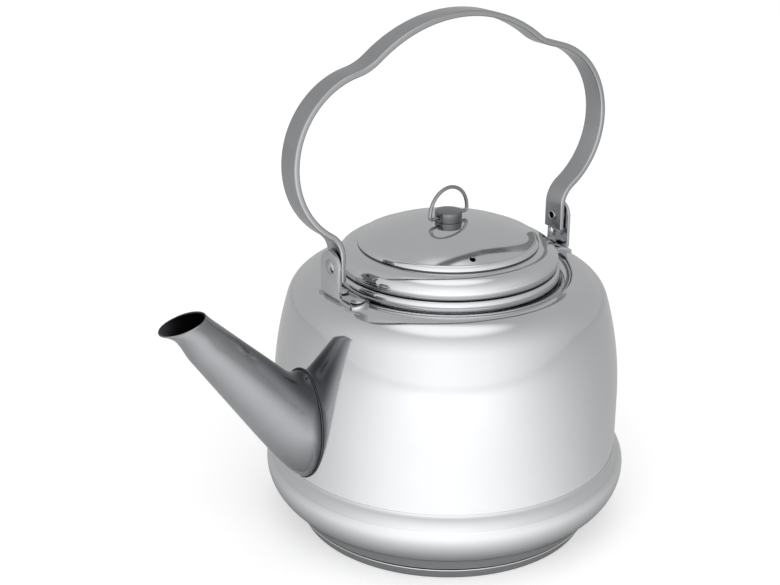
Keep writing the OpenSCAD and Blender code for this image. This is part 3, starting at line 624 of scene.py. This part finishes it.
def bail_line():
    """Stations along the bail's middle line: x, height above the hinge line, direction of the outer side."""
    arch_z = BAIL_H - ARCH_R
    span, near, far = hypot(LOBE_X, LOBE_H - arch_z), ARCH_R + HOLLOW_R, LOBE_R + HOLLOW_R
    hollow_a = degrees(atan2(LOBE_H - arch_z, LOBE_X)) + degrees(acos(
        (near ** 2 + span ** 2 - far ** 2) / (2 * near * span)))
    hollow_x, hollow_z = near * cos(radians(hollow_a)), arch_z + near * sin(radians(hollow_a))
    to_lobe = degrees(atan2(LOBE_H - hollow_z, LOBE_X - hollow_x))
    ankle_x = LEG_X + ANKLE_R
    ankle_z = LOBE_H - sqrt((LOBE_R + ANKLE_R) ** 2 - (ankle_x - LOBE_X) ** 2)
    lobe_end = degrees(atan2(ankle_z - LOBE_H, ankle_x - LOBE_X))
    half = (bend(0, arch_z, ARCH_R, 90, hollow_a, 26)
            + bend(hollow_x, hollow_z, HOLLOW_R, 180 + hollow_a, 360 + to_lobe, 18, -180)[1:]
            + bend(LOBE_X, LOBE_H, LOBE_R, to_lobe + 180, lobe_end, 60)[1:]
            + bend(ankle_x, ankle_z, ANKLE_R, 180 + lobe_end, 180, 18, -180)[1:]
            + [(LEG_X, ankle_z / 2, 0), (LEG_X, -LEG_DROP + STRIP_END, 0)])
    return [(-x, z, 180 - a) for x, z, a in half[:0:-1]] + half


def strip_section(shrink=0):
    """The strip's section, its thickness first: a rectangle with rounded edges."""
    x, y, r = STRIP_T / 2 - STRIP_EDGE, STRIP_W / 2 - STRIP_EDGE, STRIP_EDGE - shrink
    return (arc(x, y, r, 0, 90, 6) + arc(-x, y, r, 90, 180, 6)
            + arc(-x, -y, r, 180, 270, 6) + arc(x, -y, r, 270, 360, 6))


def make_bail():
    def ring(x, z, a, section):
        out = Vector((cos(radians(a)), 0, sin(radians(a))))
        return [Vector((x - BAIL_SHIFT, 0, PIVOT_Z + z)) + out * n + Vector((0, y, 0)) for n, y in section]
    rings = [ring(*station, strip_section()) for station in bail_line()]
    ends = [ring(side * LEG_X, -LEG_DROP, turn, strip_section(STRIP_END))
            for side, turn in ((-1, 180), (1, 0))]
    bail = place(swept([ends[0]] + rings + [ends[1]]), "bail_handle", "bail", [bar_steel], ["bail"])
    for side in (-1, 1):
        x = side * LEG_X - BAIL_SHIFT
        cut(bail, PIN_R + PIN_PLAY, (x - STRIP_T * 2, 0, PIVOT_Z), (x + STRIP_T * 2, 0, PIVOT_Z))


# ---- ears and rivets --------------------------------------------------------------------------

EARS = (("front", 1), ("rear", -1))    # the ears, and the side of the kettle that each is on
ear_in = LEG_X + STRIP_T / 2 + WASHER_T + 2 * SEAT
ear_out = ear_in + EAR_T
plate_in = ear_out - PLATE_IN - PLATE_W
rivet_x = plate_in + PLATE_W / 2


def at_ear(side):
    """The matrix that puts a piece made for the front ear at the ear on a side."""
    return Matrix.Translation((-BAIL_SHIFT * MM, 0, 0)) @ Matrix.Rotation(0 if side > 0 else pi, 4, "Z")


def on_shoulder(x, y):
    """The matrix that puts a piece on the shoulder at a place, square to the sheet."""
    r = hypot(x, y)
    bend_r, mid_z = (CROWN_FALL_R, CROWN_Z - CROWN_FALL_R) if r < corner_x else (corner_r, corner_z)
    slope = asin((r - corner_x) / bend_r)
    spot = Vector((x, y, mid_z + bend_r * cos(slope))) * MM
    return Matrix.Translation(spot) @ Matrix.Rotation(atan2(y, x), 4, "Z") @ Matrix.Rotation(slope, 4, "Y")


def smooth_copy(node, name, material, bevel=0):
    """A CAD node's own mesh, merged, shaded smooth and, where bevel gives a size, with rounded edges."""
    body = frame["nodes"][node]["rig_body"]
    bm = bmesh.new()
    bm.from_mesh(frame["nodes"][node].data)
    bmesh.ops.remove_doubles(bm, verts=bm.verts, dist=CAD_SAME_SPOT)
    bmesh.ops.dissolve_limit(bm, angle_limit=radians(0.5), verts=bm.verts, edges=bm.edges)
    if bevel:
        edges = [e for e in bm.edges if e.is_manifold and e.calc_face_angle(0) > radians(50)]
        bmesh.ops.bevel(bm, geom=edges, offset=bevel * MM, segments=2, profile=0.5, affect="EDGES",
                        material=-1, clamp_overlap=True)
    place(bm, name, body, [material], [node], crease=28)


def dome(r, h, n=8):
    """The outline of a domed head, from its edge to its middle."""
    ball = (r * r + h * h) / (2 * h)
    return arc(0, h - ball, ball, degrees(asin((ball - h) / ball)), 90, n)


def make_ear_rivets():
    z, low = EAR_T + 2 * SEAT, -SHEET - RIVET_TAIL_GAP
    head = dome(RIVET_R - RIVET_TAPER, RIVET_HEAD_H - RIVET_EDGE)[::-1]
    outline = ([(x, z + RIVET_EDGE + h) for x, h in head]
               + [(RIVET_R, z + RIVET_EDGE - RIVET_TAPER), (RIVET_R, z)]
               + [(RIVET_SHANK_R, z), (RIVET_SHANK_R, low)]
               + [(x, low - h) for x, h in dome(RIVET_TAIL_R, RIVET_TAIL_H)])
    for name, side in EARS:
        pair = bmesh.new()
        for y in RIVET_Y:
            rivet = spun(outline, 64)
            rivet.normal_update()
            # The head's steep edge is drawn in the near-black steel.
            for face in rivet.faces:
                face.material_index = int(abs(face.normal.z) < 0.5)
            bmesh.ops.transform(rivet, verts=rivet.verts,
                                matrix=on_shoulder(side * rivet_x - BAIL_SHIFT, side * y))
            mesh = bpy.data.meshes.new("rivet")
            rivet.to_mesh(mesh)
            rivet.free()
            pair.from_mesh(mesh)
            bpy.data.meshes.remove(mesh)
        place(pair, f"ear_rivet_pair_{name}", "kettle", [stamped_steel, raw_steel], [f"ear_rivets_{name}"])


def make_pivot_rivets():
    tail_in, head_in = LEG_X - STRIP_T / 2 - PIN_TAIL_GAP, ear_out + SEAT
    head = [(x, head_in + h) for x, h in dome(PIN_HEAD_R, PIN_HEAD_H)[::-1]]
    outline = (head + [(PIN_HEAD_R, head_in), (PIN_R, head_in), (PIN_R, tail_in), (PIN_R + PIN_ROLL, tail_in)]
               + arc(PIN_R, tail_in - PIN_ROLL_Z, PIN_ROLL, 0, -180, 10)
               + [(PIN_R - PIN_ROLL, LEG_X), (0, LEG_X)])

    def in_bore(centre, normal):
        """Whether a face is in the hollow of the tail."""
        return (abs(centre.x + BAIL_SHIFT) < LEG_X + 0.1
                and hypot(centre.y, centre.z - PIVOT_Z) < PIN_R - PIN_ROLL + 0.05)
    for name, side in EARS:
        bm = spun(outline, 64)
        bmesh.ops.transform(bm, verts=bm.verts, matrix=Matrix.Rotation(pi / 2, 4, "Y"))
        bmesh.ops.translate(bm, verts=bm.verts, vec=(0, 0, PIVOT_Z * MM))
        bmesh.ops.transform(bm, verts=bm.verts, matrix=at_ear(side))
        rivet = place(bm, f"hinge_rivet_{name}", "kettle", [tumbled_steel, raw_steel],
                      [f"pivot_rivet_{name}"])
        # Painted shade: the hollow of the tail is drawn near black.
        give_material(rivet, 1, in_bore)


def make_ears():
    for name, side in EARS:
        smooth_copy(f"ear_{name}", f"bracket_{name}", stamped_steel, bevel=EAR_EDGE)
        smooth_copy(f"pivot_washer_{name}", f"hinge_washer_{name}", tumbled_steel)


make_body()
make_rim_bead()
make_pan()
make_foot()
make_spout()
make_weld()
make_lid()
make_plug()
make_knob()
make_ring()
make_bail()
make_ears()
make_ear_rivets()
make_pivot_rivets()
smooth_copy("knob_rivet", "knob_rivet_under_lid", tumbled_steel)
smooth_copy("knob_washer", "knob_washer_under_lid", tumbled_steel)
smooth_copy("heat_core", "heat_core_disc", pickled_steel)


# ---- studio -----------------------------------------------------------------------------------

# The photograph's viewpoint: from the side of +Y and the spout, a little above the lid
CAMERA_AT = (0.4420, 0.5806, 0.4097)
CAMERA_SIGHT = Vector((-0.53350, -0.76288, -0.36525)).normalized()
CAMERA_RIGHT = Vector((-0.8206, 0.5715, 0.0050)).normalized()
CAMERA_LENS, CAMERA_SENSOR = 69.8, 36

FRONT = Vector((0.6, 0.8, 0))   # level, from the kettle towards the camera and the window of light
FRONT_FALL = 3                  # how steeply the light falls off to the sides
TENT_BACK, TENT_FRONT, TENT_TOP = 0.56, 1.5, 1.4
TOP_FROM, TOP_WHOLE = 0.88, 0.99    # heights on a unit sphere between which the tent's top fades in
FOOT_SHADE, FOOT_CLEAR = 0.07, 0.15    # in metres from the axis: the painted shadow round the foot, seen in the steel, is full, and has ended
PAPER_LIFT = 0.32               # added for the camera alone, so that the paper fades to white
PAPER_SHINE = 0.54              # painted light added to the front of the paper, seen only in the steel's reflections


def make_camera():
    data = bpy.data.cameras.new("camera")
    data.lens, data.sensor_width = CAMERA_LENS, CAMERA_SENSOR
    data.clip_start, data.clip_end = 0.05, 50
    camera = bpy.data.objects.new("camera", data)
    bpy.context.scene.collection.objects.link(camera)
    up = CAMERA_RIGHT.cross(CAMERA_SIGHT)
    turn = Matrix((CAMERA_RIGHT, up, -CAMERA_SIGHT)).transposed().to_4x4()
    camera.matrix_world = Matrix.Translation(CAMERA_AT) @ turn
    bpy.context.scene.camera = camera


def towards_front(tree, direction):
    """0 for a direction behind the kettle, rising to 1 for one in front of it."""
    facing = add(tree, "ShaderNodeVectorMath", {0: direction, 1: FRONT}, operation="DOT_PRODUCT")
    half = add(tree, "ShaderNodeMath", {0: facing.outputs["Value"], 1: 0.5, 2: 0.5}, operation="MULTIPLY_ADD")
    return add(tree, "ShaderNodeMath", {0: half.outputs[0], 1: FRONT_FALL}, operation="POWER").outputs[0]


def paper():
    """White paper. In the steel it is painted: a painted pool of light makes it white in front, it falls to
    grey behind as the tent above it does, and a painted shadow darkens it round the foot.
    """
    material, tree = new_material("white_paper_sweep")
    paths = add(tree, "ShaderNodeLightPath").outputs
    spot = add(tree, "ShaderNodeTexCoord").outputs["Object"]
    bearing = add(tree, "ShaderNodeVectorMath", {0: spot}, operation="NORMALIZE")
    front = towards_front(tree, bearing.outputs["Vector"])
    reach = add(tree, "ShaderNodeVectorMath", {0: spot}, operation="LENGTH")
    # Painted shadow: 0 round the kettle's foot, rising to 1 clear of it; only reflections show it.
    clear = add(tree, "ShaderNodeMapRange", {
        "Value": reach.outputs["Value"], "From Min": FOOT_SHADE, "From Max": FOOT_CLEAR},
        interpolation_type="SMOOTHSTEP").outputs[0]
    # Painted pool of light and painted shadow, in the colour that reflections see: grey behind, white in
    # front, darker round the foot.
    shade = add(tree, "ShaderNodeMix", {"Factor": front, "A": colour("#C9C9C9"), "B": colour("#FFFFFF")},
                data_type="RGBA").outputs["Result"]
    shade = add(tree, "ShaderNodeMix", {"Factor": clear, "A": colour("#A2A2A2"), "B": shade},
                data_type="RGBA").outputs["Result"]
    seen = add(tree, "ShaderNodeMix", {"Factor": paths["Is Glossy Ray"], "A": colour("#E6E6E6"), "B": shade},
               data_type="RGBA").outputs["Result"]
    matte = add(tree, "ShaderNodeBsdfDiffuse", {"Color": seen})
    lift = add(tree, "ShaderNodeMath", {0: paths["Is Camera Ray"], 1: PAPER_LIFT}, operation="MULTIPLY")
    # Painted light: the paper's front glows in reflections alone.
    shine = add(tree, "ShaderNodeMath", {0: front, 1: paths["Is Glossy Ray"]}, operation="MULTIPLY")
    shine = add(tree, "ShaderNodeMath", {0: shine.outputs[0], 1: clear}, operation="MULTIPLY")
    strength = add(tree, "ShaderNodeMath", {0: shine.outputs[0], 1: PAPER_SHINE, 2: lift.outputs[0]},
                   operation="MULTIPLY_ADD")
    glow = add(tree, "ShaderNodeEmission", {"Color": colour("#FFFFFF"), "Strength": strength.outputs[0]})
    both = add(tree, "ShaderNodeAddShader", {0: matte.outputs[0], 1: glow.outputs[0]})
    add(tree, "ShaderNodeOutputMaterial", {"Surface": both.outputs[0]})
    return material


def make_floor():
    bm = bmesh.new()
    bmesh.ops.create_grid(bm, x_segments=1, y_segments=1, size=6)
    mesh = bpy.data.meshes.new("floor")
    bm.to_mesh(mesh)
    bm.free()
    floor = bpy.data.objects.new("floor", mesh)
    bpy.context.scene.collection.objects.link(floor)
    mesh.materials.append(paper())


def make_softbox():
    """A wide lamp in front of the kettle and above. It isn't mirrored: the tent stands for its reflection."""
    data = bpy.data.lights.new("softbox_front", "AREA")
    data.shape, data.size, data.size_y, data.energy = "RECTANGLE", 1.5, 1.1, 6
    light = bpy.data.objects.new("softbox_front", data)
    bpy.context.scene.collection.objects.link(light)
    spot, target = Vector((0.65, 1.0, 1.15)), Vector((0.06, 0.1, 0.0))
    aim = (target - spot).to_track_quat("-Z", "Y").to_matrix().to_4x4()
    light.matrix_world = Matrix.Translation(spot) @ aim
    light.visible_glossy = False


def make_world():
    """A light tent: white in front and overhead, grey behind, with soft changes between."""
    world = bpy.data.worlds.new("studio")
    bpy.context.scene.world = world
    world.use_nodes = True
    tree = world.node_tree
    tree.nodes.clear()
    paths = add(tree, "ShaderNodeLightPath").outputs
    direction = add(tree, "ShaderNodeTexCoord").outputs["Generated"]
    front = add(tree, "ShaderNodeMapRange", {
        "Value": towards_front(tree, direction), "To Min": TENT_BACK, "To Max": TENT_FRONT}).outputs[0]
    apart = add(tree, "ShaderNodeSeparateXYZ", {"Vector": direction})
    overhead = add(tree, "ShaderNodeMapRange", {
        "Value": apart.outputs["Z"], "From Min": TOP_FROM, "From Max": TOP_WHOLE},
        interpolation_type="SMOOTHSTEP").outputs[0]
    tent = add(tree, "ShaderNodeMix", {"Factor": overhead, "A": front, "B": TENT_TOP},
               data_type="FLOAT").outputs["Result"]
    seen = add(tree, "ShaderNodeMix", {"Factor": paths["Is Camera Ray"], "A": tent, "B": 1.0},
               data_type="FLOAT").outputs["Result"]
    light = add(tree, "ShaderNodeBackground", {"Color": colour("#FFFFFF"), "Strength": seen})
    add(tree, "ShaderNodeOutputWorld", {"Surface": light.outputs[0]})


make_camera()
make_floor()
make_softbox()
make_world()
bpy.context.scene.view_settings.view_transform = "Standard"
